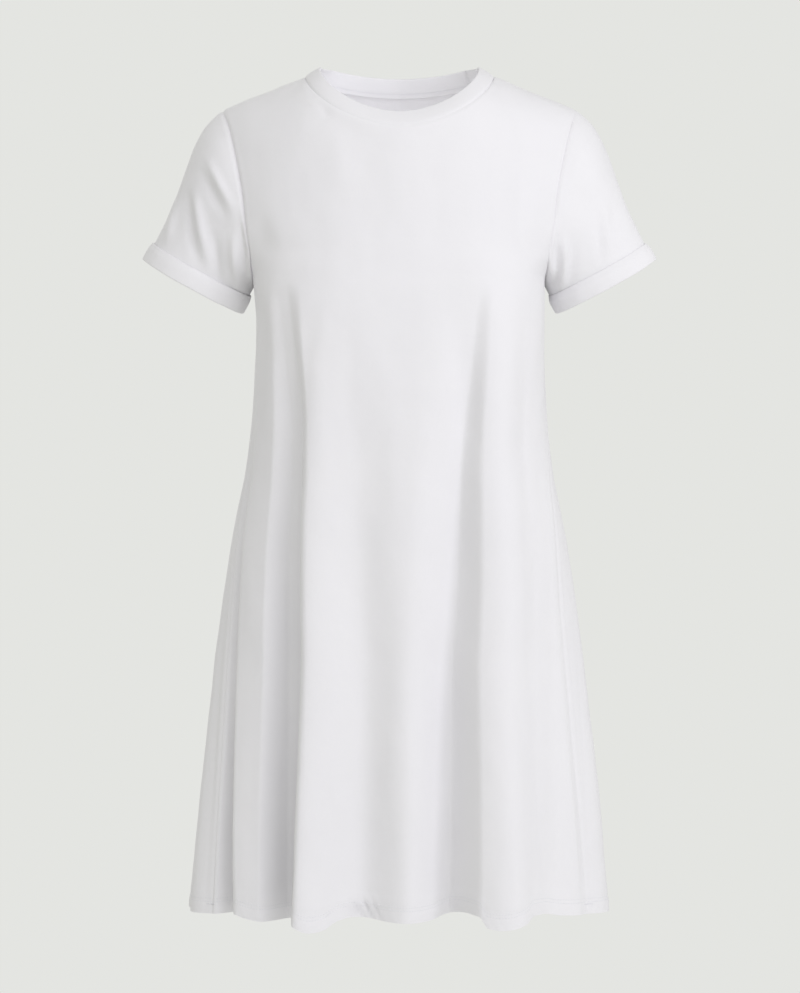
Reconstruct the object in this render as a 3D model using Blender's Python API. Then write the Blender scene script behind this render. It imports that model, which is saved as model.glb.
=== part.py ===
"""A short-sleeved, A-line t-shirt dress, filled out as if worn: seven hollow shells of cloth.

Frame: +Z is up, the wearer faces -Y, and the origin is on the centre line, level with the two
points where the shoulder seams meet the neck seam. Sizes are in metres. A bearing is an angle
round the body, in degrees: 0 is centre front and 90 is the wearer's left side (+X).
"""

import bmesh
import bpy
import numpy as np

# Cloth
WALL = 0.0015
BAND_WALL = 0.0022
CUFF_WALL = 0.0024
SEAM_GAP = 0.0003

# Heights
HEM_Z = -0.880
HEM_STITCH_Z = -0.864
UNDERARM_Z = -0.218
YOKE_Z = -0.090
SHOULDER_Z = -0.035

# Neck
NECK_HALF_WIDTH = 0.100
NECK_DROP_FRONT = 0.0666
NECK_DROP_BACK = 0.0110
# 2 would be an oval neckline at the front; less is nearer a V.
NECK_ROUND = 1.75
BAND_HEIGHT = 0.0205

# The shoulder rolls over from the chest to the seam: 2 would be a round, more is squarer.
SHOULDER_ROLL = 5.0

# Sleeves: the middle of the sleeve where the cuff starts, and the oval of the sleeve there
CUFF_MIDDLE_X = 0.2091
CUFF_MIDDLE_Z = -0.2039
CUFF_TILT = np.radians(29.0)
CUFF_PITCH = np.radians(7.0)
SLEEVE_HALF_LENGTH = 0.0570
SLEEVE_HALF_DEPTH = 0.0440
CUFF_HEIGHT = 0.0205
CUFF_FLARE = 0.0010
CAP_BULGE = 0.0095
# The bulge along the sleeve is this times k(1-k)^3, which peaks at 1 a quarter of the way down.
CAP_BULGE_SCALE = 9.48

# Facets
SHOULDER_COLUMNS = 8
FRONT_NECK_COLUMNS = 26
BACK_NECK_COLUMNS = 26
TOP_ROWS = 4
SKIRT_ROWS = (-0.25, -0.30, -0.36, -0.42, -0.49, -0.56, -0.64, -0.72, -0.80, HEM_STITCH_Z,
              HEM_Z)
ARMHOLE_ROWS = (YOKE_Z, -0.125, -0.155, -0.180, -0.200, -0.212, UNDERARM_Z)
SLEEVE_ROWS = (0.0, 0.12, 0.27, 0.45, 0.70, 1.0)

# Level sections through the body. The last column is 2 for an oval and more for a squarer one.
SECTION_COLUMNS = ("height", "half_width", "front", "back", "middle", "squareness")
SECTIONS = np.array([
    (-0.900, 0.2226, 0.105, 0.127, 0.000, 2.0),
    (-0.865, 0.2198, 0.105, 0.125, 0.000, 2.0),
    (-0.809, 0.2148, 0.106, 0.123, 0.000, 2.0),
    (-0.763, 0.2102, 0.108, 0.121, 0.000, 2.0),
    (-0.704, 0.2036, 0.110, 0.118, 0.000, 2.0),
    (-0.618, 0.1940, 0.113, 0.113, 0.000, 2.0),
    (-0.569, 0.1872, 0.115, 0.110, 0.000, 2.1),
    (-0.515, 0.1795, 0.117, 0.106, 0.000, 2.2),
    (-0.464, 0.1710, 0.120, 0.102, 0.000, 2.3),
    (-0.422, 0.1630, 0.122, 0.099, 0.000, 2.4),
    (-0.366, 0.1560, 0.125, 0.098, 0.000, 2.6),
    (-0.310, 0.1525, 0.127, 0.099, 0.000, 2.9),
    (-0.260, 0.1515, 0.127, 0.101, 0.000, 3.1),
    (-0.234, 0.1517, 0.126, 0.102, 0.000, 3.2),
    (-0.218, 0.1525, 0.124, 0.102, 0.000, 3.2),
    (-0.190, 0.1700, 0.121, 0.102, 0.003, 2.6),
    (-0.167, 0.1836, 0.118, 0.101, 0.005, 2.4),
    (-0.132, 0.1920, 0.114, 0.099, 0.008, 2.3),
    (-0.090, 0.1975, 0.111, 0.095, 0.010, 2.2),
    (-0.035, 0.2050, 0.110, 0.092, 0.012, 2.2),
    (0.030, 0.2100, 0.108, 0.090, 0.012, 2.2),
])

# The top of the shoulders, from the centre line out; inside the neck hole nothing is built.
SHOULDER_LINE_COLUMNS = ("across", "height")
SHOULDER_LINE = np.array([
    (0.000, 0.030),
    (0.050, 0.018),
    (0.100, 0.000),
    (0.140, -0.016),
    (0.163, -0.0245),
    (0.188, SHOULDER_Z),
    (0.210, -0.050),
])

# Half the width of the body piece between the armhole seams
ARMHOLE_COLUMNS = ("height", "across")
ARMHOLE = np.array([
    (UNDERARM_Z, 0.1525),
    (-0.200, 0.1541),
    (-0.167, 0.1590),
    (-0.132, 0.1630),
    (-0.090, 0.1710),
    (-0.060, 0.1785),
    (SHOULDER_Z, 0.1880),
])

# Bearing of each side seam below the underarm
SIDE_SEAM_COLUMNS = ("height", "right_bearing", "left_bearing")
SIDE_SEAMS = np.array([
    (HEM_Z, -62.0, 62.0),
    (-0.704, -66.0, 62.0),
    (-0.569, -71.0, 63.0),
    (-0.448, -81.0, 70.0),
    (-0.350, -90.0, 82.0),
    (UNDERARM_Z, -90.0, 90.0),
])

# Folds that fall from the bust and the shoulder blades, as crests (offset out) and troughs
# (offset in) at the hem. Each grows from its start height. A lean pushes the cloth sideways.
# Close to a side seam, within SEAM_CALM degrees, every fold dies out.
FOLD_TOP_Z = -0.25
SEAM_CALM = 5.0
FOLD_GROWTH = 0.75
FOLD_COLUMNS = ("top_bearing", "hem_bearing", "start", "offset", "lean")
FRONT_FOLDS = np.array([
    (-90.0, -62.0, -0.30, 0.000, 0.000),
    (-83.0, -55.0, -0.34, -0.021, 0.000),
    (-72.0, -48.2, -0.34, 0.006, 0.000),
    (-54.0, -40.5, -0.24, 0.003, 0.000),
    (-45.0, -35.5, -0.23, -0.034, 0.003),
    (-40.0, -30.0, -0.23, -0.037, -0.002),
    (-31.0, -23.7, -0.23, 0.027, -0.013),
    (-10.5, -9.9, -0.28, -0.011, 0.000),
    (2.0, 1.5, -0.30, 0.004, 0.000),
    (21.5, 14.3, -0.23, -0.031, 0.000),
    (27.5, 21.0, -0.23, 0.024, 0.000),
    (34.0, 28.5, -0.23, 0.034, 0.000),
    (54.0, 38.0, -0.40, 0.014, 0.000),
    (68.0, 46.0, -0.45, 0.004, 0.000),
    (78.0, 53.0, -0.45, 0.005, 0.000),
    (90.0, 62.0, -0.30, 0.000, 0.000),
])
BACK_FOLDS = np.array([
    (90.0, 62.0, -0.30, 0.000, 0.000),
    (93.0, 74.0, -0.40, 0.003, 0.000),
    (100.0, 88.0, -0.40, 0.000, 0.000),
    (112.0, 103.0, -0.42, -0.016, 0.000),
    (127.0, 121.0, -0.30, 0.022, 0.000),
    (141.0, 138.0, -0.26, -0.024, 0.000),
    (154.0, 155.0, -0.24, 0.024, 0.000),
    (170.0, 171.0, -0.34, -0.026, 0.000),
    (184.0, 186.0, -0.30, 0.018, 0.000),
    (193.0, 197.0, -0.30, 0.020, 0.000),
    (213.0, 213.0, -0.25, -0.030, 0.000),
    (226.0, 230.0, -0.26, 0.024, 0.000),
    (244.0, 247.0, -0.36, -0.018, 0.000),
    (256.0, 262.0, -0.45, 0.004, 0.000),
    (262.0, 275.0, -0.45, -0.001, 0.000),
    (267.0, 288.0, -0.40, 0.006, 0.000),
    (270.0, 298.0, -0.30, 0.000, 0.000),
])

# How far the hem rises where it is pulled into a hollow, and sinks on a fold.
HEM_RISE_COLUMNS = ("bearing", "rise")
HEM_RISE = np.array([
    (-90.0, 0.000),
    (-58.0, 0.002),
    (-49.5, 0.005),
    (-44.0, 0.001),
    (-37.0, -0.002),
    (-30.0, 0.000),
    (-26.0, 0.002),
    (-20.3, -0.007),
    (-17.8, -0.005),
    (-15.6, 0.003),
    (-12.3, 0.006),
    (-8.6, 0.005),
    (-3.0, 0.002),
    (5.0, 0.001),
    (9.0, 0.0015),
    (12.0, 0.0045),
    (15.0, 0.0070),
    (18.5, 0.011),
    (20.5, 0.010),
    (22.3, -0.001),
    (26.0, -0.003),
    (33.0, 0.001),
    (36.5, 0.008),
    (40.0, 0.008),
    (48.0, 0.004),
    (58.0, 0.002),
    (90.0, -0.001),
    (112.0, 0.003),
    (130.0, -0.002),
    (150.0, 0.004),
    (171.0, -0.002),
    (192.0, 0.003),
    (214.0, -0.002),
    (238.0, 0.004),
    (256.0, 0.000),
    (270.0, 0.000),
])
HEM_RISE_START = -0.68

# How the neckband leans in as it rises, from centre front (0) to centre back (180)
BAND_COLUMNS = ("bearing", "inward", "up")
BAND_LEAN = np.array([
    (0.0, 0.62, 0.78),
    (50.0, 0.72, 0.68),
    (70.0, 0.80, 0.595),
    (90.0, 0.80, 0.60),
    (125.0, 0.28, 0.96),
    (180.0, 0.12, 0.99),
])

WHITE_JERSEY = (0.84, 0.84, 0.87, 1.0)
JERSEY_ROUGHNESS = 0.9


# --- Smooth curves and tables ---

def smooth(knots, values, at):
    """A curve through the values, with no overshoot: flat where the values turn."""
    steps = np.diff(knots)
    slopes = np.diff(values) / steps
    before, after = slopes[:-1], slopes[1:]
    turning = before * after <= 0
    mean = 2 * before * after / np.where(turning, 1.0, before + after)
    tangents = np.concatenate([slopes[:1], np.where(turning, 0.0, mean), slopes[-1:]])
    span = np.clip(np.searchsorted(knots, at) - 1, 0, len(steps) - 1)
    t = np.clip((at - knots[span]) / steps[span], 0.0, 1.0)
    rise = 3 * t ** 2 - 2 * t ** 3
    return (
        values[span] * (1 - rise)
        + values[span + 1] * rise
        + steps[span] * t * (1 - t) * (tangents[span] * (1 - t) - tangents[span + 1] * t)
    )


def column(table, names, name, at):
    """One named column of a table, read off its first column."""
    return smooth(table[:, 0], table[:, names.index(name)], at)


def section(height, name):
    return column(SECTIONS, SECTION_COLUMNS, name, height)


def shoulder_height(across):
    return column(SHOULDER_LINE, SHOULDER_LINE_COLUMNS, "height", abs(across))


def armhole_across(height):
    return column(ARMHOLE, ARMHOLE_COLUMNS, "across", height)


def side_seam(height, name):
    return column(SIDE_SEAMS, SIDE_SEAM_COLUMNS, name, height)


def signed_power(value, power):
    return np.sign(value) * np.abs(value) ** power


# --- The body's surface ---

def seam_calm(bearing, height):
    """0 at a side seam, rising to 1 a few degrees away from it."""
    to_left = np.abs(bearing - side_seam(height, "left_bearing"))
    to_right = np.abs((bearing - side_seam(height, "right_bearing") + 180.0) % 360.0 - 180.0)
    near = np.clip(np.minimum(to_left, to_right) / SEAM_CALM, 0.0, 1.0)
    return near ** 2 * (3 - 2 * near)


def fold_offset(bearing, height, folds):
    """How far a fold moves the cloth out, and sideways, at a bearing and height."""
    top, hem, start, offset, lean = folds.T
    down = np.clip((FOLD_TOP_Z - height) / (FOLD_TOP_Z - HEM_Z), 0.0, 1.0)
    growth = np.clip((start - height) / (start - HEM_Z), 0.0, 1.0) ** FOLD_GROWTH
    places = top + (hem - top) * down
    calm = seam_calm(bearing, height)
    out = smooth(places, offset * growth, bearing) * calm
    side = smooth(places, lean * growth ** 3, bearing) * calm
    return out, side


def skirt_point(bearing, height, folds):
    """A point of the body below the underarm."""
    angle = np.radians(bearing)
    squareness = section(height, "squareness")
    half_width = section(height, "half_width")
    depth = section(height, "front" if np.cos(angle) > 0 else "back")
    x = half_width * signed_power(np.sin(angle), 2 / squareness)
    y = section(height, "middle") - depth * signed_power(np.cos(angle), 2 / squareness)
    outward = np.array([np.sin(angle) / half_width, -np.cos(angle) / depth])
    outward /= np.linalg.norm(outward)
    out, side = fold_offset(bearing, height, folds)
    x += outward[0] * out - outward[1] * side
    y += outward[1] * out + outward[0] * side
    return np.array([x, y, height])


def chest_point(across, height, facing):
    """A point of the body above the underarm; facing is -1 for the front and 1 for the back."""
    middle = section(height, "middle")
    squareness = section(height, "squareness")
    depth = section(height, "front" if facing < 0 else "back") + facing * -middle
    reach = min(abs(across) / section(height, "half_width"), 1.0)
    girth = (1 - reach ** squareness) ** (1 / squareness)
    rise = (height - UNDERARM_Z) / (shoulder_height(across) - UNDERARM_Z)
    roll = (1 - np.clip(rise, 0.0, 1.0) ** SHOULDER_ROLL) ** 0.5
    return np.array([across, middle + facing * depth * girth * roll, height])


def top_edge(neck_columns, facing):
    """(across, height) along the shoulder seam, the neck seam and the other shoulder seam."""
    shoulder = np.linspace(armhole_across(SHOULDER_Z), NECK_HALF_WIDTH, SHOULDER_COLUMNS + 1)
    seam = [(x, shoulder_height(x)) for x in shoulder]
    turns = np.linspace(-np.pi / 2, np.pi / 2, neck_columns + 1)[1:-1]
    if facing < 0:
        neck_x = NECK_HALF_WIDTH * signed_power(np.sin(turns), 2 / NECK_ROUND)
        neck_z = -NECK_DROP_FRONT * np.cos(turns) ** (2 / NECK_ROUND)
    else:
        neck_x = NECK_HALF_WIDTH * np.sin(turns)
        neck_z = -NECK_DROP_BACK * np.cos(turns) ** 2
    right = [(-x, z) for x, z in seam]
    return right + list(zip(neck_x, neck_z)) + seam[::-1]


def armhole_bearing(height):
    """Bearing, short of 90, at which the armhole seam crosses a level section."""
    reach = armhole_across(height) / section(height, "half_width")
    return np.degrees(np.arcsin(min(reach, 1.0) ** (section(height, "squareness") / 2)))


def skirt_bearings(columns, height, facing, folds):
    """Bearings of the columns: even at the underarm, and equally many per fold at the hem."""
    right = side_seam(height, "right_bearing")
    left = side_seam(height, "left_bearing")
    if facing > 0:
        right += 360.0
    share = (columns + 1) / 2
    even = right + (left - right) * share
    places = np.sort(folds[:, FOLD_COLUMNS.index("hem_bearing")])
    numbers = np.linspace(0.0, 1.0, len(places))
    if right > left:
        share = 1 - share
    folded = np.interp(share, numbers, places)
    width = abs(left - right) / (places[-1] - places[0])
    folded = min(left, right) + (folded - places[0]) * width
    down = (UNDERARM_Z - height) / (UNDERARM_Z - HEM_Z)
    return even + (folded - even) * min(2 * down, 1.0)


def hem_rise(bearings):
    """How far the hem is above its level at bearings from -90 round to 270."""
    return column(HEM_RISE, HEM_RISE_COLUMNS, "rise", (bearings + 90.0) % 360.0 - 90.0)


def body_grid(neck_columns, facing, folds):
    """Rows of points from the neck and shoulders down to the hem, each from side to side."""
    columns = np.linspace(-1.0, 1.0, neck_columns + 2 * SHOULDER_COLUMNS + 1)
    edge = top_edge(neck_columns, facing)
    rows = []

    def chest_across(c, height):
        angle = np.radians(armhole_bearing(height) * c)
        power = 2 / section(height, "squareness")
        return section(height, "half_width") * signed_power(np.sin(angle), power)

    for r in range(TOP_ROWS, 0, -1):
        rise = np.sin(r / TOP_ROWS * np.pi / 2)
        armhole_z = YOKE_Z + (SHOULDER_Z - YOKE_Z) * rise
        plain = armhole_across(YOKE_Z) * (1 - rise) + armhole_across(SHOULDER_Z) * rise
        widen = armhole_across(armhole_z) - plain
        row = []
        for c, (edge_x, edge_z) in zip(columns, edge):
            x = chest_across(c, YOKE_Z) * (1 - rise) + edge_x * rise
            x += widen * signed_power(c, 3)
            row.append(chest_point(x, YOKE_Z * (1 - rise) + edge_z * rise, facing))
        rows.append(row)
    even_rows = np.linspace(YOKE_Z, UNDERARM_Z, len(ARMHOLE_ROWS))
    for armhole_z, even_z in zip(ARMHOLE_ROWS, even_rows):
        heights = even_z + (armhole_z - even_z) * columns ** 2
        rows.append([chest_point(chest_across(c, z), z, facing)
                     for c, z in zip(columns, heights)])
    for height in SKIRT_ROWS:
        bearings = skirt_bearings(columns, height, facing, folds)
        row = np.array([skirt_point(b, height, folds) for b in bearings])
        low = max(0.0, (HEM_RISE_START - height) / (HEM_RISE_START - HEM_Z))
        row[:, 2] += hem_rise(bearings) * low ** 2
        rows.append(row)
    return np.array(rows)


# --- Shells ---

def outward_normals(grid, closed):
    """Unit normals of a grid whose rows run down and whose columns run to the viewer's right."""
    down = np.gradient(grid, axis=0)
    if closed:
        across = np.roll(grid, -1, axis=1) - np.roll(grid, 1, axis=1)
    else:
        across = np.gradient(grid, axis=1)
    normals = np.cross(down, across)
    return normals / np.linalg.norm(normals, axis=2, keepdims=True)


def shell_mesh(name, outer, inner, closed):
    """A closed shell between two grids of the same shape; closed joins the last column on."""
    rows, columns = outer.shape[:2]
    mesh = bmesh.new()
    skins = [[[mesh.verts.new(p) for p in row] for row in grid] for grid in (outer, inner)]
    spans = columns if closed else columns - 1
    for skin in skins:
        for i in range(rows - 1):
            for j in range(spans):
                k = (j + 1) % columns
                mesh.faces.new((skin[i][j], skin[i + 1][j], skin[i + 1][k], skin[i][k]))
    loop = [(0, j) for j in range(columns)]
    ends = [loop, [(rows - 1, j) for j in range(columns)]]
    if not closed:
        ends += [[(i, 0) for i in range(rows)], [(i, columns - 1) for i in range(rows)]]
    for end in ends:
        following = end[1:] + end[:1] if closed else end[1:]
        for (i, j), (m, n) in zip(end, following):
            mesh.faces.new((skins[0][i][j], skins[0][m][n], skins[1][m][n], skins[1][i][j]))
    bmesh.ops.triangulate(mesh, faces=mesh.faces)
    bmesh.ops.recalc_face_normals(mesh, faces=mesh.faces)
    data = bpy.data.meshes.new(name)
    mesh.to_mesh(data)
    mesh.free()
    data.shade_smooth()
    data.set_sharp_from_angle(angle=np.radians(50.0))
    cloth = bpy.data.objects.new(name, data)
    bpy.context.scene.collection.objects.link(cloth)
    cloth.data.materials.append(jersey(name))
    return cloth


def jersey(name):
    """White cotton jersey for one piece."""
    material = bpy.data.materials.new(name + "_jersey")
    material.use_nodes = True
    surface = material.node_tree.nodes["Principled BSDF"]
    surface.inputs["Base Color"].default_value = WHITE_JERSEY
    surface.inputs["Roughness"].default_value = JERSEY_ROUGHNESS
    surface.inputs["Metallic"].default_value = 0.0
    return material


def draw_back(edge, neighbours):
    """The step that moves a seam's edge half the gap back into its own piece."""
    step = neighbours - edge
    return step / np.linalg.norm(step, axis=-1, keepdims=True) * SEAM_GAP / 2


def share_normals(front, back):
    """Front and back use one thickness direction wherever they meet, at sides and shoulders."""
    last = front.shape[0]
    first_skirt_row = TOP_ROWS + len(ARMHOLE_ROWS) - 1
    pairs = [((0, c), (0, c)) for c in range(SHOULDER_COLUMNS + 1)]
    pairs += [((0, -1 - c), (0, -1 - c)) for c in range(SHOULDER_COLUMNS + 1)]
    for r in range(first_skirt_row, last):
        pairs += [((r, 0), (r, 0)), ((r, -1), (r, -1))]
    for f, b in pairs:
        mean = front[f] + back[b]
        front[f] = back[b] = mean / np.linalg.norm(mean)


def build_body_piece(name, grid, normals):
    """A front or back: its shell, with every edge drawn back from the seams."""
    outer = grid.copy()
    inner = grid - normals * WALL
    for rows, columns, near_rows, near_columns in (
        (slice(None), 0, slice(None), 1),
        (slice(None), -1, slice(None), -2),
        (0, slice(None), 1, slice(None)),
    ):
        step = draw_back(grid[rows, columns], grid[near_rows, near_columns])
        outer[rows, columns] += step
        inner[rows, columns] += step
    return shell_mesh(name, outer, inner, closed=False)


# --- Sleeves and cuffs ---

def armhole_ring(front, back, side):
    """The armhole seam from the underarm up the front and down the back, with its normals."""
    end = -1 if side > 0 else 0
    underarm_row = TOP_ROWS + len(ARMHOLE_ROWS) - 1
    up_front = front[underarm_row::-1, end]
    down_back = back[1:underarm_row, end]
    return np.concatenate([up_front, down_back])


def sleeve_oval(turn, beyond, side, out=0.0):
    """The sleeve's oval at the cuff, pitched so that its front edge hangs a little lower.

    Turn 0 is the oval's outer end, pi its underarm end.
    """
    along = np.array([np.cos(CUFF_TILT) * side, 0.0, np.sin(CUFF_TILT)])
    axis = np.array([np.sin(CUFF_TILT) * side, 0.0, -np.cos(CUFF_TILT)])
    middle = np.array([CUFF_MIDDLE_X * side, 0.0, CUFF_MIDDLE_Z])
    half_length = SLEEVE_HALF_LENGTH + out + CUFF_FLARE * beyond / CUFF_HEIGHT
    half_depth = SLEEVE_HALF_DEPTH + out
    depth = (axis * np.sin(CUFF_PITCH) + np.array([0.0, -np.cos(CUFF_PITCH), 0.0])) * half_depth
    return middle + axis * beyond + along * half_length * np.cos(turn) + depth * np.sin(turn)


def sleeve_turns(ring):
    """Where each point of the armhole seam lands on the cuff's oval, by distance round."""
    steps = np.linalg.norm(np.roll(ring, -1, axis=0) - ring, axis=1)
    round_to = np.concatenate([[0.0], np.cumsum(steps)[:-1]])
    top = np.argmax(ring[:, 2])
    front = round_to / round_to[top]
    behind = (round_to - round_to[top]) / (steps.sum() - round_to[top])
    turns = np.where(round_to <= round_to[top], np.pi * (1 - front), -np.pi * behind)
    return turns


def sleeve_grid(ring, side):
    """Rows of points from the armhole down to the end of the sleeve, inside the cuff."""
    turns = sleeve_turns(ring)
    start = ring + np.array([SEAM_GAP * side, 0.0, 0.0])
    cuff = np.array([sleeve_oval(t, 0.0, side) for t in turns])
    rise = 0.5 + 0.5 * np.cos(turns)
    outward = np.array([sleeve_oval(t, 0.0, side, out=1.0) for t in turns]) - cuff
    rows = []
    for k in SLEEVE_ROWS:
        bulge = CAP_BULGE * CAP_BULGE_SCALE * k * (1 - k) ** 3 * rise
        rows.append(start * (1 - k) + cuff * k + outward * bulge[:, None])
    for beyond in (0.5 * CUFF_HEIGHT, CUFF_HEIGHT - SEAM_GAP):
        rows.append(np.array([sleeve_oval(t, beyond, side) for t in turns]))
    return np.array(rows)


def build_sleeve(name, ring, ring_normals, side):
    grid = sleeve_grid(ring, side)
    if side < 0:
        grid = grid[:, ::-1]
        ring_normals = ring_normals[::-1]
    normals = outward_normals(grid, closed=True)
    height = grid[0, :, 2]
    lift = np.clip((height - UNDERARM_Z - 0.004) / 0.03, 0.0, 1.0)[:, None]
    first = normals[0] * (1 - lift) + ring_normals * lift
    normals[0] = first / np.linalg.norm(first, axis=1, keepdims=True)
    return shell_mesh(name, grid, grid - normals * WALL, closed=True)


def build_cuff(name, ring, side):
    """The turned-up band round the end of a sleeve."""
    turns = sleeve_turns(ring)
    levels = (0.0, 0.5 * CUFF_HEIGHT, CUFF_HEIGHT)
    inner = [[sleeve_oval(t, b, side, out=SEAM_GAP) for t in turns] for b in levels]
    outer = [[sleeve_oval(t, b, side, out=SEAM_GAP + CUFF_WALL) for t in turns] for b in levels]
    return shell_mesh(name, np.array(outer), np.array(inner), closed=True)


# --- Neckband ---

def neck_ring(front, back):
    """The neck seam from the right neck point round the front, then back round behind."""
    first, last = SHOULDER_COLUMNS, SHOULDER_COLUMNS + FRONT_NECK_COLUMNS
    behind_last = SHOULDER_COLUMNS + BACK_NECK_COLUMNS
    round_front = front[0, first:last + 1]
    round_back = back[0, first + 1:behind_last][::-1]
    return np.concatenate([round_front, round_back])


def build_neckband(ring, ring_normals):
    """A narrow band that stands on the neck seam and leans in over the neck hole."""
    centre = np.array([0.0, section(0.0, "middle")])
    from_centre = ring[:, :2] - centre
    bearings = np.degrees(np.abs(np.arctan2(from_centre[:, 0], -from_centre[:, 1])))
    lean_in = column(BAND_LEAN, BAND_COLUMNS, "inward", bearings)
    lift = column(BAND_LEAN, BAND_COLUMNS, "up", bearings)
    inward = -from_centre / np.linalg.norm(from_centre, axis=1, keepdims=True)
    direction = np.column_stack([inward * lean_in[:, None], lift])
    direction /= np.linalg.norm(direction, axis=1, keepdims=True)
    levels = (SEAM_GAP, 0.5 * BAND_HEIGHT, BAND_HEIGHT)
    grid = np.array([ring + direction * level for level in levels[::-1]])
    normals = outward_normals(grid, closed=True)
    normals[-1] = ring_normals
    return shell_mesh("neckband", grid, grid - normals * BAND_WALL, closed=True)


def build_dress():
    front = body_grid(FRONT_NECK_COLUMNS, -1, FRONT_FOLDS)
    back = body_grid(BACK_NECK_COLUMNS, 1, BACK_FOLDS)
    front_normals = outward_normals(front, closed=False)
    back_normals = -outward_normals(back, closed=False)
    share_normals(front_normals, back_normals)
    build_body_piece("front", front, front_normals)
    build_body_piece("back", back, back_normals)
    for name, side in (("right", -1), ("left", 1)):
        ring = armhole_ring(front, back, side)
        ring_normals = armhole_ring(front_normals, back_normals, side)
        build_sleeve("sleeve_" + name, ring, ring_normals, side)
        build_cuff("cuff_" + name, ring, side)
    build_neckband(neck_ring(front, back), neck_ring(front_normals, back_normals))


for leftover in list(bpy.data.objects):
    bpy.data.objects.remove(leftover)
build_dress()
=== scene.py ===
"""The looks of a white jersey t-shirt dress, filled out as if worn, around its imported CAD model.

Sizes are in metres in the model's own frame: +Z up, the wearer faces -Y, and the origin is level
with the neck points of the shoulders. A bearing is an angle round the body, in degrees: 0 is
centre front and 90 is the wearer's left side (+X). The cloth follows the same sections, seams
and folds as the solids, on a finer grid, with its small creases, seams and stitches added.
"""

from collections import namedtuple

import bmesh
import bpy
import numpy as np
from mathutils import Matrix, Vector, noise


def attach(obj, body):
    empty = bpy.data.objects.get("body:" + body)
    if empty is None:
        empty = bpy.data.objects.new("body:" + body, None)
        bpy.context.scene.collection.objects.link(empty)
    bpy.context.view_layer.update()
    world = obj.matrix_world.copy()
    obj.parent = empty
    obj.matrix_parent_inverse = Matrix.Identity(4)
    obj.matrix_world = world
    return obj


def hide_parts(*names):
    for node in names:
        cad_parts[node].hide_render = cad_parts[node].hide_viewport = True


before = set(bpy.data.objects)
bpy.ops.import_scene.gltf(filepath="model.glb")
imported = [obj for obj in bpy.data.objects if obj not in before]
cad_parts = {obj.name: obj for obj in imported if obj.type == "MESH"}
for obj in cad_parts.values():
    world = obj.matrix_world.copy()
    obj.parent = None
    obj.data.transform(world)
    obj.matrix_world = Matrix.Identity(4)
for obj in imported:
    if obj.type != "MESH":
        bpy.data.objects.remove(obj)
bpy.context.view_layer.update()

# --- Sizes ---
# A key or a side of -1 is the wearer's right (-X), and 1 is the wearer's left (+X). A front faces
# -1 and a back faces 1, along Y. Bearings are in degrees. PATCHES is how many patches of
# unevenness there are to a metre.

# Levels down the body, and how its folds grow from them to the hem
SHOULDER_Z = -0.035
YOKE_Z = -0.090
UNDERARM_Z = -0.218
FOLD_TOP_Z = -0.25
HEM_RISE_START = -0.68
HEM_Z = -0.880
SEAM_CALM = 5.0
FOLD_GROWTH = 0.75
LEAN_GROWTH = 3
SHOULDER_ROLL = 5.0

# Cloth and seams
CLOTH = 0.0010
SEAM_GAP = 0.00008
SEAM_DIP = {-1: 0.0012, 1: 0.0002}
SEAM_DIP_WIDTH = 0.0018
SEAM_RIDGE = 0.0003
SEAM_RIDGE_PLACE = 0.005
SEAM_RIDGE_WIDTH = 0.0025
TOP_SEAM_DIP = 0.0008
TOP_SEAM_WIDTH = 0.0022
CREASE_FADE = 0.45

# The turned hem, the ridge above its stitches, and its slanted puckers
HEM_DEPTH = 0.016
HEM_DOUBLING = 0.0005
HEM_DIP = 0.0008
HEM_DIP_WIDTH = 0.0015
HEM_RIDGE = 0.0005
HEM_RIDGE_PLACE = 0.0032
HEM_RIDGE_WIDTH = 0.0017
PUCKER_HEIGHT = 0.0009
PUCKER_PITCH = 0.0105
PUCKER_SLANT = 0.9
PUCKER_PATCHES = 14.0
DEEP_PUCKER_X = -0.034
DEEP_PUCKER_WIDTH = 0.018
DEEP_PUCKER_STRENGTH = 1.8

# Neck and neckband
NECK_HALF_WIDTH = 0.100
NECK_DROP_FRONT = 0.0666
NECK_DROP_BACK = 0.0110
NECK_ROUND = 1.75
BAND_HEIGHT = 0.0205
BAND_WALL = 0.0022
BAND_CORNER = 0.0010
BAND_CROWN = 0.0006
BAND_WAVE = 0.0004
BAND_PATCHES = 28.0
BAND_SINK = 0.0007
BAND_SINK_HEIGHT = 0.0035
BAND_SPREAD = 4
BAND_JOIN = 115.0
BAND_JOIN_DIP = 0.0010
SEAM_ALLOWANCE = 0.0012
SEAM_ALLOWANCE_HEIGHT = 0.004

# Sleeves and cuffs
CUFF_MIDDLE_X = 0.2091
CUFF_MIDDLE_Z = -0.2039
CUFF_TILT = np.radians(29.0)
CUFF_PITCH = np.radians(7.0)
SLEEVE_HALF_LENGTH = 0.0570
SLEEVE_HALF_DEPTH = 0.0440
CAP_BULGE = 0.0095
CAP_BULGE_SCALE = 9.48  # one over the peak of k * (1 - k) ** 3
CAP_SEAM_LIFT = 0.004
CAP_SEAM_BLEND = 0.03
CUFF_HEIGHT = 0.0205
CUFF_WALL = 0.0024
CUFF_CORNER = 0.0011
CUFF_FLARE = 0.0010
CUFF_CROWN = 0.0005
CUFF_SLACK = 0.0004
CUFF_RUFFLE = 0.0003
CUFF_WAVE = 0.0007
CUFF_LIFT = 0.0003
CUFF_TAPER = {-1: 0.35, 1: 0.75}
CUFF_TAPER_START = 0.65
UNDER_CUFF_STOP = 0.0006
UNDER_CUFF_RELIEF = 0.4

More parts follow.
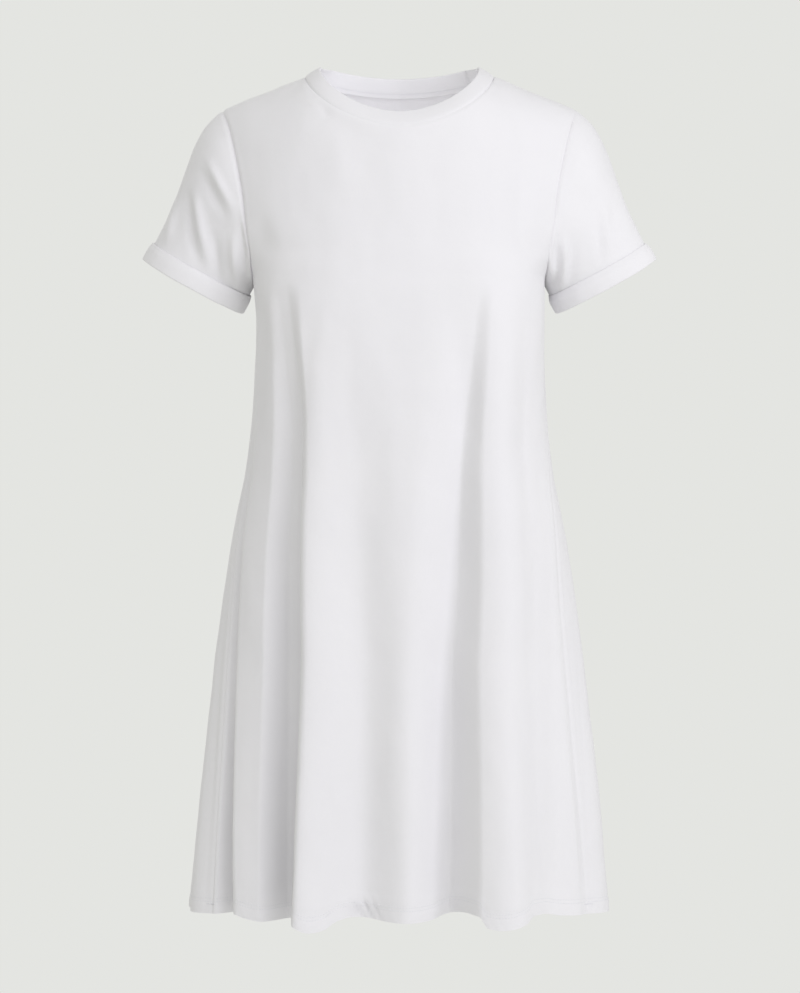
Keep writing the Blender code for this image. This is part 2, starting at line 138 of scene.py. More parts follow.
# Points and rows of the grids
SHOULDER_COLUMNS = 34
NECK_COLUMNS = 132
TOP_ROWS = 24
ARMHOLE_STEPS = 40
ARMHOLE_CROWDING = 2.2
UNDERARM_ROW = TOP_ROWS + ARMHOLE_STEPS - 1
SKIRT_STEPS = 130
SLEEVE_STEPS = 56
UNDER_CUFF_STEPS = 9
CUFF_COLUMNS = 200
STRIP_SPAN = {"cuff": 0.0016, "band": 0.0015}

SECTION_COLUMNS = ("height", "half_width", "front", "back", "middle", "squareness")
SECTIONS = np.array([
    (-0.900, 0.2226, 0.105, 0.127, 0.000, 2.0),
    (-0.865, 0.2198, 0.105, 0.125, 0.000, 2.0),
    (-0.809, 0.2148, 0.106, 0.123, 0.000, 2.0),
    (-0.763, 0.2102, 0.108, 0.121, 0.000, 2.0),
    (-0.704, 0.2036, 0.110, 0.118, 0.000, 2.0),
    (-0.618, 0.1940, 0.113, 0.113, 0.000, 2.0),
    (-0.569, 0.1872, 0.115, 0.110, 0.000, 2.1),
    (-0.515, 0.1795, 0.117, 0.106, 0.000, 2.2),
    (-0.464, 0.1710, 0.120, 0.102, 0.000, 2.3),
    (-0.422, 0.1630, 0.122, 0.099, 0.000, 2.4),
    (-0.366, 0.1560, 0.125, 0.098, 0.000, 2.6),
    (-0.310, 0.1525, 0.127, 0.099, 0.000, 2.9),
    (-0.260, 0.1515, 0.127, 0.101, 0.000, 3.1),
    (-0.234, 0.1517, 0.126, 0.102, 0.000, 3.2),
    (-0.218, 0.1525, 0.124, 0.102, 0.000, 3.2),
    (-0.190, 0.1700, 0.121, 0.102, 0.003, 2.6),
    (-0.167, 0.1836, 0.118, 0.101, 0.005, 2.4),
    (-0.132, 0.1920, 0.114, 0.099, 0.008, 2.3),
    (-0.090, 0.1975, 0.111, 0.095, 0.010, 2.2),
    (-0.035, 0.2050, 0.110, 0.092, 0.012, 2.2),
    (0.030, 0.2100, 0.108, 0.090, 0.012, 2.2),
])
SHOULDER_LINE_COLUMNS = ("across", "height")
SHOULDER_LINE = np.array([
    (0.000, 0.030),
    (0.050, 0.018),
    (0.100, 0.000),
    (0.140, -0.016),
    (0.163, -0.0245),
    (0.188, SHOULDER_Z),
    (0.210, -0.050),
])
ARMHOLE_COLUMNS = ("height", "across")
ARMHOLE = np.array([
    (UNDERARM_Z, 0.1525),
    (-0.200, 0.1541),
    (-0.167, 0.1590),
    (-0.132, 0.1630),
    (-0.090, 0.1710),
    (-0.060, 0.1785),
    (SHOULDER_Z, 0.1880),
])
SIDE_SEAM_COLUMNS = ("height", "right_bearing", "left_bearing")
SIDE_SEAMS = np.array([
    (-0.880, -62.0, 62.0),
    (-0.704, -66.0, 62.0),
    (-0.569, -71.0, 63.0),
    (-0.448, -81.0, 70.0),
    (-0.350, -90.0, 82.0),
    (UNDERARM_Z, -90.0, 90.0),
])
FOLD_COLUMNS = ("top_bearing", "hem_bearing", "start", "offset", "lean")
FRONT_FOLDS = np.array([
    (-90.0, -62.0, -0.30, 0.000, 0.000),
    (-83.0, -55.0, -0.34, -0.021, 0.000),
    (-72.0, -48.2, -0.34, 0.006, 0.000),
    (-54.0, -40.5, -0.24, 0.003, 0.000),
    (-45.0, -35.5, -0.23, -0.034, 0.003),
    (-40.0, -30.0, -0.23, -0.037, -0.002),
    (-31.0, -23.7, -0.23, 0.027, -0.013),
    (-10.5, -9.9, -0.28, -0.011, 0.000),
    (2.0, 1.5, -0.30, 0.004, 0.000),
    (21.5, 14.3, -0.23, -0.031, 0.000),
    (27.5, 21.0, -0.23, 0.024, 0.000),
    (34.0, 28.5, -0.23, 0.034, 0.000),
    (54.0, 38.0, -0.40, 0.014, 0.000),
    (68.0, 46.0, -0.45, 0.004, 0.000),
    (78.0, 53.0, -0.45, 0.005, 0.000),
    (90.0, 62.0, -0.30, 0.000, 0.000),
])
BACK_FOLDS = np.array([
    (90.0, 62.0, -0.30, 0.000, 0.000),
    (93.0, 74.0, -0.40, 0.003, 0.000),
    (100.0, 88.0, -0.40, 0.000, 0.000),
    (112.0, 103.0, -0.42, -0.016, 0.000),
    (127.0, 121.0, -0.30, 0.022, 0.000),
    (141.0, 138.0, -0.26, -0.024, 0.000),
    (154.0, 155.0, -0.24, 0.024, 0.000),
    (170.0, 171.0, -0.34, -0.026, 0.000),
    (184.0, 186.0, -0.30, 0.018, 0.000),
    (193.0, 197.0, -0.30, 0.020, 0.000),
    (213.0, 213.0, -0.25, -0.030, 0.000),
    (226.0, 230.0, -0.26, 0.024, 0.000),
    (244.0, 247.0, -0.36, -0.018, 0.000),
    (256.0, 262.0, -0.45, 0.004, 0.000),
    (262.0, 275.0, -0.45, -0.001, 0.000),
    (267.0, 288.0, -0.40, 0.006, 0.000),
    (270.0, 298.0, -0.30, 0.000, 0.000),
])
# How far the hem rises where it is pulled into a hollow, and sinks on a fold.
HEM_RISE_COLUMNS = ("bearing", "rise")
HEM_RISE = np.array([
    (-90.0, 0.000),
    (-58.0, 0.002),
    (-49.5, 0.005),
    (-44.0, 0.001),
    (-37.0, -0.002),
    (-30.0, 0.000),
    (-26.0, 0.002),
    (-20.3, -0.007),
    (-17.8, -0.005),
    (-15.6, 0.003),
    (-12.3, 0.006),
    (-8.6, 0.005),
    (-3.0, 0.002),
    (5.0, 0.001),
    (9.0, 0.0015),
    (12.0, 0.0045),
    (15.0, 0.0070),
    (18.5, 0.011),
    (20.5, 0.010),
    (22.3, -0.001),
    (26.0, -0.003),
    (33.0, 0.001),
    (36.5, 0.008),
    (40.0, 0.008),
    (48.0, 0.004),
    (58.0, 0.002),
    (90.0, -0.001),
    (112.0, 0.003),
    (130.0, -0.002),
    (150.0, 0.004),
    (171.0, -0.002),
    (192.0, 0.003),
    (214.0, -0.002),
    (238.0, 0.004),
    (256.0, 0.000),
    (270.0, 0.000),
])
# Which way the neckband stands out of its seam: inward and up, round the neck.
BAND_COLUMNS = ("bearing", "inward", "up")
BAND_LEAN = np.array([
    (0.0, 0.62, 0.78),
    (50.0, 0.72, 0.68),
    (70.0, 0.80, 0.595),
    (90.0, 0.80, 0.60),
    (125.0, 0.28, 0.96),
    (180.0, 0.12, 0.99),
])

# Soft creases as they are seen from in front or behind. A row is x, z, to_x, to_z, width, height:
# each runs straight from its start to its end, and rises (or sinks, if its height is negative) in
# a bell shape as wide as it says.
FRONT_CREASES = np.array([
    # under the neckband on the wearer's right
    (-0.078, -0.040, -0.071, -0.062, 0.006, -0.0012),
    (-0.062, -0.060, -0.060, -0.150, 0.012, 0.0014),
    # from the right armhole towards the bust
    (-0.158, -0.150, -0.128, -0.215, 0.016, -0.0030),
    (-0.150, -0.180, -0.118, -0.300, 0.014, 0.0022),
    (-0.150, -0.215, -0.140, -0.330, 0.012, -0.0018),
    # from the left armhole
    (0.160, -0.140, 0.135, -0.230, 0.016, -0.0018),
    (0.148, -0.205, 0.135, -0.330, 0.012, 0.0014),
    # below the bust
    (-0.088, -0.225, -0.104, -0.420, 0.011, -0.0022),
    (0.060, -0.250, 0.073, -0.430, 0.013, -0.0022),
    (-0.020, -0.330, -0.024, -0.520, 0.016, -0.0012),
])
BACK_CREASES = np.array([
    (-0.150, -0.140, -0.090, -0.230, 0.016, -0.0030),
    (0.152, -0.150, 0.100, -0.250, 0.017, -0.0028),
    (-0.145, -0.190, -0.110, -0.330, 0.014, 0.0022),
    (0.145, -0.200, 0.120, -0.350, 0.013, 0.0018),
    (-0.060, -0.030, -0.050, -0.120, 0.012, -0.0012),
    (0.030, -0.200, 0.034, -0.420, 0.018, -0.0014),
])


# --- Smooth curves and tables ---

def smooth(knots, values, at):
    """A curve through the values, with no overshoot: flat where the values turn."""
    steps = np.diff(knots)
    slopes = np.diff(values) / steps
    before, after = slopes[:-1], slopes[1:]
    turning = before * after <= 0
    mean = 2 * before * after / np.where(turning, 1.0, before + after)
    tangents = np.concatenate([slopes[:1], np.where(turning, 0.0, mean), slopes[-1:]])
    span = np.clip(np.searchsorted(knots, at) - 1, 0, len(steps) - 1)
    t = np.clip((at - knots[span]) / steps[span], 0.0, 1.0)
    rise = 3 * t ** 2 - 2 * t ** 3
    return (
        values[span] * (1 - rise)
        + values[span + 1] * rise
        + steps[span] * t * (1 - t) * (tangents[span] * (1 - t) - tangents[span + 1] * t)
    )


def column(table, names, name, at):
    return smooth(table[:, 0], table[:, names.index(name)], at)


def section(height, name):
    return column(SECTIONS, SECTION_COLUMNS, name, height)


def shoulder_height(across):
    return column(SHOULDER_LINE, SHOULDER_LINE_COLUMNS, "height", np.abs(across))


def armhole_across(height):
    return column(ARMHOLE, ARMHOLE_COLUMNS, "across", height)


def side_seam(height, name):
    return column(SIDE_SEAMS, SIDE_SEAM_COLUMNS, name, height)


def signed_power(value, power):
    return np.sign(value) * np.abs(value) ** power


def smoothstep(low, high, at):
    t = np.clip((at - low) / (high - low), 0.0, 1.0)
    return t * t * (3 - 2 * t)


def bell(distance, width):
    return np.exp(-(distance / width) ** 2)


def unit(vectors):
    return vectors / np.linalg.norm(vectors, axis=-1, keepdims=True)


# --- The body's surface, as in the solids ---

def seam_calm(bearings, height):
    """0 at a side seam, rising to 1 a few degrees away from it."""
    to_left = np.abs(bearings - side_seam(height, "left_bearing"))
    to_right = np.abs((bearings - side_seam(height, "right_bearing") + 180.0) % 360.0 - 180.0)
    near = np.clip(np.minimum(to_left, to_right) / SEAM_CALM, 0.0, 1.0)
    return near ** 2 * (3 - 2 * near)


def fold_offset(bearings, height, folds):
    top, hem, start, offset, lean = folds.T
    down = np.clip((FOLD_TOP_Z - height) / (FOLD_TOP_Z - HEM_Z), 0.0, 1.0)
    growth = np.clip((start - height) / (start - HEM_Z), 0.0, 1.0) ** FOLD_GROWTH
    places = top + (hem - top) * down
    calm = seam_calm(bearings, height)
    out = smooth(places, offset * growth, bearings) * calm
    side = smooth(places, lean * growth ** LEAN_GROWTH, bearings) * calm
    return out, side


def skirt_row(bearings, height, folds):
    """A row of the body below the underarm."""
    angles = np.radians(bearings)
    squareness = section(height, "squareness")
    half_width = section(height, "half_width")
    depth = np.where(np.cos(angles) > 0, section(height, "front"), section(height, "back"))
    x = half_width * signed_power(np.sin(angles), 2 / squareness)
    y = section(height, "middle") - depth * signed_power(np.cos(angles), 2 / squareness)
    outward = unit(np.stack([np.sin(angles) / half_width, -np.cos(angles) / depth], axis=1))
    out, side = fold_offset(bearings, height, folds)
    x = x + outward[:, 0] * out - outward[:, 1] * side
    y = y + outward[:, 1] * out + outward[:, 0] * side
    return np.stack([x, y, np.full_like(x, height)], axis=1)


def chest_row(across, heights, facing):
    """A row of the body above the underarm."""
    middle = section(heights, "middle")
    squareness = section(heights, "squareness")
    depth = section(heights, "front" if facing < 0 else "back") - facing * middle
    reach = np.minimum(np.abs(across) / section(heights, "half_width"), 1.0)
    girth = (1 - reach ** squareness) ** (1 / squareness)
    rise = (heights - UNDERARM_Z) / (shoulder_height(across) - UNDERARM_Z)
    roll = (1 - np.clip(rise, 0.0, 1.0) ** SHOULDER_ROLL) ** 0.5
    return np.stack([across, middle + facing * depth * girth * roll, heights], axis=1)


def top_edge(facing):
    """Across and height along the shoulder seam, the neck seam and the other shoulder seam."""
    shoulder = np.linspace(armhole_across(SHOULDER_Z), NECK_HALF_WIDTH, SHOULDER_COLUMNS + 1)
    turns = np.linspace(-np.pi / 2, np.pi / 2, NECK_COLUMNS + 1)[1:-1]
    if facing < 0:
        neck_x = NECK_HALF_WIDTH * signed_power(np.sin(turns), 2 / NECK_ROUND)
        neck_z = -NECK_DROP_FRONT * np.cos(turns) ** (2 / NECK_ROUND)
    else:
        neck_x = NECK_HALF_WIDTH * np.sin(turns)
        neck_z = -NECK_DROP_BACK * np.cos(turns) ** 2
    seam_z = shoulder_height(shoulder)
    across = np.concatenate([-shoulder, neck_x, shoulder[::-1]])
    return across, np.concatenate([seam_z, neck_z, seam_z[::-1]])


def chest_across(columns, heights):
    """Where the columns cross a level section, between the armhole seams."""
    squareness = section(heights, "squareness")
    reach = np.minimum(armhole_across(heights) / section(heights, "half_width"), 1.0)
    angles = np.arcsin(reach ** (squareness / 2)) * columns
    return section(heights, "half_width") * signed_power(np.sin(angles), 2 / squareness)


def skirt_bearings(columns, height, facing, folds):
    right = side_seam(height, "right_bearing")
    left = side_seam(height, "left_bearing")
    if facing > 0:
        right += 360.0
    share = (columns + 1) / 2
    even = right + (left - right) * share
    places = folds[:, FOLD_COLUMNS.index("hem_bearing")]
    numbers = np.linspace(0.0, 1.0, len(places))
    if right > left:
        share = 1 - share
    folded = np.interp(share, numbers, places)
    width = abs(left - right) / (places[-1] - places[0])
    folded = min(left, right) + (folded - places[0]) * width
    down = (UNDERARM_Z - height) / (UNDERARM_Z - HEM_Z)
    return even + (folded - even) * min(2 * down, 1.0)


def hem_rise(bearings):
    return column(HEM_RISE, HEM_RISE_COLUMNS, "rise", (bearings + 90.0) % 360.0 - 90.0)


def body_grid(facing, folds):
    """Rows of points from the neck and shoulders down to the hem, each from side to side."""
    columns = np.linspace(-1.0, 1.0, NECK_COLUMNS + 2 * SHOULDER_COLUMNS + 1)
    edge_x, edge_z = top_edge(facing)
    rows = []
    for r in range(TOP_ROWS, 0, -1):
        rise = np.sin(r / TOP_ROWS * np.pi / 2)
        armhole_z = YOKE_Z + (SHOULDER_Z - YOKE_Z) * rise
        plain = armhole_across(YOKE_Z) * (1 - rise) + armhole_across(SHOULDER_Z) * rise
        widen = armhole_across(armhole_z) - plain
        x = chest_across(columns, YOKE_Z) * (1 - rise) + edge_x * rise
        x += widen * signed_power(columns, 3)
        rows.append(chest_row(x, YOKE_Z * (1 - rise) + edge_z * rise, facing))
    crowded = np.linspace(1, 0, ARMHOLE_STEPS) ** ARMHOLE_CROWDING
    edges = UNDERARM_Z + (YOKE_Z - UNDERARM_Z) * crowded
    evens = np.linspace(YOKE_Z, UNDERARM_Z, ARMHOLE_STEPS)
    for armhole_z, even_z in zip(edges, evens):
        heights = even_z + (armhole_z - even_z) * columns ** 2
        rows.append(chest_row(chest_across(columns, heights), heights, facing))
    for height in np.linspace(UNDERARM_Z, HEM_Z, SKIRT_STEPS + 1)[1:]:
        bearings = skirt_bearings(columns, height, facing, folds)
        row = skirt_row(bearings, height, folds)
        low = max(0.0, (HEM_RISE_START - height) / (HEM_RISE_START - HEM_Z))
        row[:, 2] += hem_rise(bearings) * low ** 2
        rows.append(row)
    return np.array(rows)


# --- Grids into shells ---

def grid_normals(grid, closed):
    down = np.gradient(grid, axis=0)
    if closed:
        across = np.roll(grid, -1, axis=1) - np.roll(grid, 1, axis=1)
    else:
        across = np.gradient(grid, axis=1)
    return unit(np.cross(down, across))


def run_down(grid):
    """Distance from each column's top, along the cloth."""
    steps = np.linalg.norm(np.diff(grid, axis=0), axis=2)
    return np.concatenate([np.zeros((1, grid.shape[1])), np.cumsum(steps, axis=0)])


def run_across(grid):
    """Distance from each row's first point, along the cloth."""
    steps = np.linalg.norm(np.diff(grid, axis=1), axis=2)
    return np.concatenate([np.zeros((grid.shape[0], 1)), np.cumsum(steps, axis=1)], axis=1)


def crease_height(grid, creases):
    """How far the soft creases lift or sink each point of a front or back."""
    lift = np.zeros(grid.shape[:2])
    for x, z, to_x, to_z, width, height in creases:
        run = np.array([to_x - x, to_z - z])
        length = np.linalg.norm(run)
        run /= length
        away_x = grid[:, :, 0] - x
        away_z = grid[:, :, 2] - z
        along = away_x * run[0] + away_z * run[1]
        aside = -away_x * run[1] + away_z * run[0]
        fade = CREASE_FADE * length
        ends = smoothstep(0.0, fade, along) * smoothstep(0.0, fade, length - along)
        lift += height * ends * bell(aside, width)
    return lift


def ripple(grid, size, depth, seed):
    """Soft unevenness of the cloth, about as wide as size."""
    flat = grid.reshape(-1, 3) / size + seed
    values = [noise.noise(Vector(p)) for p in flat]
    return depth * np.array(values).reshape(grid.shape[:2])


def seam_relief(distance, dip):
    """The dip along a seam, and the slight ridge of its allowance beside it."""
    ridge = SEAM_RIDGE * bell(distance - SEAM_RIDGE_PLACE, SEAM_RIDGE_WIDTH)
    return -dip * bell(distance, SEAM_DIP_WIDTH) + ridge


def quads(grid):
    """The four corners of each cell of a grid of numbers or of points."""
    corners = (grid[:-1, :-1], grid[1:, :-1], grid[1:, 1:], grid[:-1, 1:])
    return np.stack(corners, axis=2).reshape(-1, 4, *grid.shape[2:])


def cloth_mesh(name, points, faces, face_uv):
    """A smooth-shaded mesh with a UV map in metres along the cloth."""
    data = bpy.data.meshes.new(name)
    data.from_pydata(points.tolist(), [], faces.tolist())
    layer = data.uv_layers.new(name="cloth")
    layer.uv.foreach_set("vector", face_uv.astype(np.float32).ravel())
    data.shade_smooth()
    return data


def add_object(name, data):
    """An object in the scene for a closed mesh, its faces turned to look outwards."""
    mesh = bmesh.new()
    mesh.from_mesh(data)
    bmesh.ops.recalc_face_normals(mesh, faces=mesh.faces)
    mesh.to_mesh(data)
    mesh.free()
    piece = bpy.data.objects.new(name, data)
    bpy.context.scene.collection.objects.link(piece)
    return piece


def shell_object(name, outer, inner, closed, uv_across, uv_down):
    """A closed shell between two grids, with a UV map in metres along the cloth."""
    rows, columns = outer.shape[:2]
    count = rows * columns
    points = np.concatenate([outer.reshape(-1, 3), inner.reshape(-1, 3)])
    at = np.arange(count).reshape(rows, columns)
    if closed:
        at = np.concatenate([at, at[:, :1]], axis=1)
        wrap = uv_across[:, -1:] * 2 - uv_across[:, -2:-1]
        uv_across = np.concatenate([uv_across, wrap], axis=1)
        uv_down = np.concatenate([uv_down, uv_down[:, :1]], axis=1)
    uv = np.stack([uv_across, uv_down], axis=2)
    front = quads(at)
    front_uv = quads(uv)
    faces = [front, front[:, ::-1] + count]
    face_uv = [front_uv, front_uv[:, ::-1]]
    ends = [((at[0, 1:], at[0, :-1]), (uv[0, 1:], uv[0, :-1])),
            ((at[-1, :-1], at[-1, 1:]), (uv[-1, :-1], uv[-1, 1:]))]
    if not closed:
        ends += [((at[:-1, 0], at[1:, 0]), (uv[:-1, 0], uv[1:, 0])),
                 ((at[1:, -1], at[:-1, -1]), (uv[1:, -1], uv[:-1, -1]))]
    for (a, b), (uv_a, uv_b) in ends:
        faces.append(np.stack([b, a, a + count, b + count], axis=1))
        face_uv.append(np.stack([uv_b, uv_a, uv_a, uv_b], axis=1))
    data = cloth_mesh(name, points, np.concatenate(faces), np.concatenate(face_uv))
    data.set_sharp_from_angle(angle=np.radians(60.0))
    return add_object(name, data)


def finish_piece(piece, node, material):
    piece.data.materials.append(material)
    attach(piece, "root")
    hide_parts(node)


# --- Materials ---

class Nodes:
    """Short calls for building one material's nodes."""

    def __init__(self, name):
        self.material = bpy.data.materials.new(name)
        self.material.use_nodes = True
        self.tree = self.material.node_tree
        self.surface = self.tree.nodes["Principled BSDF"]

    def link(self, source, target):
        if isinstance(source, (int, float)):
            target.default_value = source
        else:
            self.tree.links.new(source, target)

    def math(self, operation, a, b=0.0):
        node = self.tree.nodes.new("ShaderNodeMath")
        node.operation = operation
        self.link(a, node.inputs[0])
        self.link(b, node.inputs[1])
        return node.outputs[0]

    def noise(self, vector, scale, detail=3.0):
        node = self.tree.nodes.new("ShaderNodeTexNoise")
        node.inputs["Scale"].default_value = scale
        node.inputs["Detail"].default_value = detail
        self.link(vector, node.inputs["Vector"])
        return node.outputs["Fac"]

    def spread(self, value, low, high, to_low, to_high):
        node = self.tree.nodes.new("ShaderNodeMapRange")
        for socket, number in zip(("From Min", "From Max", "To Min", "To Max"),
                                  (low, high, to_low, to_high)):
            node.inputs[socket].default_value = number
        self.link(value, node.inputs["Value"])
        return node.outputs["Result"]

    def colours(self, factor, first, second):
        node = self.tree.nodes.new("ShaderNodeMix")
        node.data_type = "RGBA"
        self.link(factor, node.inputs["Factor"])
        node.inputs["A"].default_value = (*first, 1.0)
        node.inputs["B"].default_value = (*second, 1.0)
        return node.outputs["Result"]

    def bump(self, height, distance, strength, under=None):
        node = self.tree.nodes.new("ShaderNodeBump")
        node.inputs["Distance"].default_value = distance
        node.inputs["Strength"].default_value = strength
        self.link(height, node.inputs["Height"])
        if under is not None:
            self.link(under, node.inputs["Normal"])
        return node.outputs["Normal"]


WHITE = (0.866, 0.860, 0.876)
WHITE_COOL = (0.850, 0.844, 0.864)
THREAD = (0.86, 0.86, 0.88)
THREAD_DARK = (0.74, 0.74, 0.78)
PAPER = (0.80, 0.805, 0.78)
PAPER_DARK = (0.78, 0.785, 0.76)


def jersey(name, wale=0.00085, course=0.00065):
    """Plain knit: rows of small Vs along the cloth, with soft fuzz and uneven yarn."""
    n = Nodes(name)
    coordinates = n.tree.nodes.new("ShaderNodeTexCoord")
    split = n.tree.nodes.new("ShaderNodeSeparateXYZ")
    n.link(coordinates.outputs["UV"], split.inputs[0])
    place = coordinates.outputs["Object"]
    across = n.math("DIVIDE", split.outputs["X"], wale)
    down = n.math("DIVIDE", split.outputs["Y"], course)
    in_wale = n.math("PINGPONG", across, 0.5)
    slanted = n.math("ADD", down, in_wale)
    loops = n.math("SINE", n.math("MULTIPLY", slanted, 2 * np.pi))
    rib = n.math("SINE", n.math("MULTIPLY", in_wale, 2 * np.pi))
    knit = n.math("ADD", n.math("MULTIPLY", loops, 0.35), n.math("ABSOLUTE", rib))
    uneven = n.noise(place, scale=9.0)
    yarn = n.noise(place, scale=420.0, detail=2.0)
    mottle = n.math("ADD", uneven, n.math("MULTIPLY", yarn, 0.35))
    factor = n.spread(mottle, 0.45, 0.9, 0.0, 1.0)
    n.link(n.colours(factor, WHITE, WHITE_COOL), n.surface.inputs["Base Color"])
    n.link(n.spread(yarn, 0.3, 0.7, 0.82, 0.94), n.surface.inputs["Roughness"])
    soft = n.bump(n.noise(place, scale=55.0), distance=0.0009, strength=0.35)
    n.link(n.bump(knit, distance=0.00008, strength=0.5, under=soft), n.surface.inputs["Normal"])
    n.surface.inputs["Sheen Weight"].default_value = 0.25
    n.surface.inputs["Sheen Roughness"].default_value = 0.45
    n.surface.inputs["Specular IOR Level"].default_value = 0.25
    return n.material


def thread(name):
    """Twisted white sewing thread."""
    n = Nodes(name)
    place = n.tree.nodes.new("ShaderNodeTexCoord").outputs["Object"]
    twist = n.noise(place, scale=900.0)
    n.link(n.colours(twist, THREAD, THREAD_DARK), n.surface.inputs["Base Color"])
    n.surface.inputs["Roughness"].default_value = 0.6
    n.surface.inputs["Sheen Weight"].default_value = 0.2
    return n.material


# --- Front and back ---

def side_distance(grid):
    """Distance of each point from the nearer side edge of its row."""
    across = run_across(grid)
    return np.minimum(across, across[:, -1:] - across)


def hem_relief(grid, down, seed):
    """The turned-up hem: a doubled edge, the dip of its stitches and its slanted puckers."""
    above = down[-1:] - down
    doubled = HEM_DOUBLING * (1 - smoothstep(HEM_DEPTH - 0.001, HEM_DEPTH + 0.0015, above))
    dip = -HEM_DIP * bell(above - HEM_DEPTH, HEM_DIP_WIDTH)
    ridge = HEM_RIDGE * bell(above - HEM_DEPTH - HEM_RIDGE_PLACE, HEM_RIDGE_WIDTH)
    across = run_across(grid)
    slant = across[-1:] + PUCKER_SLANT * above
    strength = [noise.noise(Vector((a * PUCKER_PATCHES, seed, 0.0))) for a in across[-1]]
    strength = np.clip(np.array(strength) + 0.25, 0.05, 1.0)[None, :]
    deep = bell(grid[-1, :, 0] - DEEP_PUCKER_X, DEEP_PUCKER_WIDTH)[None, :]
    strength = strength + DEEP_PUCKER_STRENGTH * deep
    band = smoothstep(0.0, 0.006, above) * (1 - smoothstep(0.012, 0.022, above))
    puckers = PUCKER_HEIGHT * strength * band * np.sin(slant * 2 * np.pi / PUCKER_PITCH)
    return doubled + dip + ridge + puckers


def body_normals():
    """Both pieces' normals, made one wherever they meet, at the sides and shoulders."""
    front = grid_normals(front_grid, closed=False)
    back = -grid_normals(back_grid, closed=False)
    skirt = slice(UNDERARM_ROW, None)
    shoulders = (slice(0, SHOULDER_COLUMNS + 1), slice(-SHOULDER_COLUMNS - 1, None))
    for index in ((skirt, 0), (skirt, -1), (0, shoulders[0]), (0, shoulders[1])):
        mean = unit(front[index] + back[index])
        front[index] = mean
        back[index] = mean
    return front, back


def body_relief(grid, creases, seed):
    """All small relief of a front or back: creases, seams, hem and unevenness."""
    down = run_down(grid)
    sides = side_distance(grid)
    depth = np.where(grid[:, :, 0] < 0, SEAM_DIP[-1], SEAM_DIP[1])
    top_dip = -TOP_SEAM_DIP * bell(down, TOP_SEAM_WIDTH)
    inside = smoothstep(0.0, 0.030, sides) * smoothstep(0.0, 0.020, down)
    waves = ripple(grid * (1.0, 1.0, 0.35), size=0.045, depth=0.0013, seed=seed)
    waves += ripple(grid * (1.0, 1.0, 0.6), size=0.018, depth=0.0004, seed=seed + 5.0)
    relief = (crease_height(grid, creases) + waves) * inside
    return relief + seam_relief(sides, depth) + top_dip + hem_relief(grid, down, seed)


def body_piece(node, grid, normals, relief, material):
    outer = grid + normals * relief[:, :, None]
    inner = outer - normals * CLOTH
    across = run_across(grid)
    middle = across[:, across.shape[1] // 2, None]
    piece = shell_object(node + "_cloth", outer, inner, False, across - middle, -run_down(grid))
    finish_piece(piece, node, material)
    return piece, outer


# --- Sleeves and cuffs ---

def armhole_ring(front, back, side):
    """The armhole seam from the underarm up the front and down the back."""
    end = -1 if side > 0 else 0
    return np.concatenate([front[UNDERARM_ROW::-1, end], back[1:UNDERARM_ROW, end]])


def sleeve_oval(turns, beyond, side, out=0.0):
    """The sleeve's oval at the cuff, pitched so that its front edge hangs a little lower."""
    turns = np.asarray(turns)[..., None]
    along = np.array([np.cos(CUFF_TILT) * side, 0.0, np.sin(CUFF_TILT)])
    axis = np.array([np.sin(CUFF_TILT) * side, 0.0, -np.cos(CUFF_TILT)])
    middle = np.array([CUFF_MIDDLE_X * side, 0.0, CUFF_MIDDLE_Z])
    out = np.asarray(out)[..., None]
    half_length = SLEEVE_HALF_LENGTH + out + CUFF_FLARE * beyond / CUFF_HEIGHT
    forward = axis * np.sin(CUFF_PITCH) + np.array([0.0, -np.cos(CUFF_PITCH), 0.0])
    depth = forward * (SLEEVE_HALF_DEPTH + out)
    return middle + axis * beyond + along * half_length * np.cos(turns) + depth * np.sin(turns)


def sleeve_turns(ring):
    """The turn round the cuff's oval that each point of the armhole seam runs down to."""
    steps = np.linalg.norm(np.roll(ring, -1, axis=0) - ring, axis=1)
    round_to = np.concatenate([[0.0], np.cumsum(steps)[:-1]])
    top = np.argmax(ring[:, 2])
    front = round_to / round_to[top]
    behind = (round_to - round_to[top]) / (steps.sum() - round_to[top])
    return np.where(round_to <= round_to[top], np.pi * (1 - front), -np.pi * behind)


# Creases of each sleeve as they are seen from in front and from behind.
SLEEVE_FRONT_CREASES = {
    -1: np.array([
        (-0.205, -0.086, -0.168, -0.156, 0.0046, 0.0040),
        (-0.213, -0.094, -0.176, -0.164, 0.0050, -0.0030),
        (-0.216, -0.112, -0.198, -0.214, 0.0050, 0.0046),
        (-0.225, -0.112, -0.209, -0.214, 0.0050, -0.0034),
        (-0.232, -0.128, -0.246, -0.186, 0.0050, 0.0034),
        (-0.192, -0.162, -0.188, -0.236, 0.0050, -0.0030),
        (-0.163, -0.150, -0.159, -0.236, 0.0050, -0.0050),
        (-0.173, -0.165, -0.1695, -0.236, 0.0045, 0.0034),
    ]),
    1: np.array([
        (0.1725, -0.170, 0.1690, -0.234, 0.0040, 0.0034),
        (0.1635, -0.165, 0.1630, -0.234, 0.0042, -0.0034),
        (0.1810, -0.165, 0.1780, -0.232, 0.0050, -0.0020),
        (0.2140, -0.128, 0.2170, -0.205, 0.0050, 0.0022),
        (0.2070, -0.140, 0.2100, -0.212, 0.0040, -0.0024),
        (0.1820, -0.120, 0.2000, -0.160, 0.0100, -0.0012),
    ]),
}
SLEEVE_BACK_CREASES = {
    -1: np.array([
        (-0.214, -0.100, -0.178, -0.170, 0.0080, -0.0034),
        (-0.222, -0.135, -0.202, -0.205, 0.0070, 0.0026),
        (-0.170, -0.160, -0.172, -0.225, 0.0060, -0.0030),
    ]),
    1: np.array([
        (0.212, -0.102, 0.180, -0.168, 0.0080, -0.0032),
        (0.224, -0.130, 0.206, -0.200, 0.0070, 0.0024),
        (0.170, -0.165, 0.171, -0.225, 0.0060, -0.0030),
    ]),
}


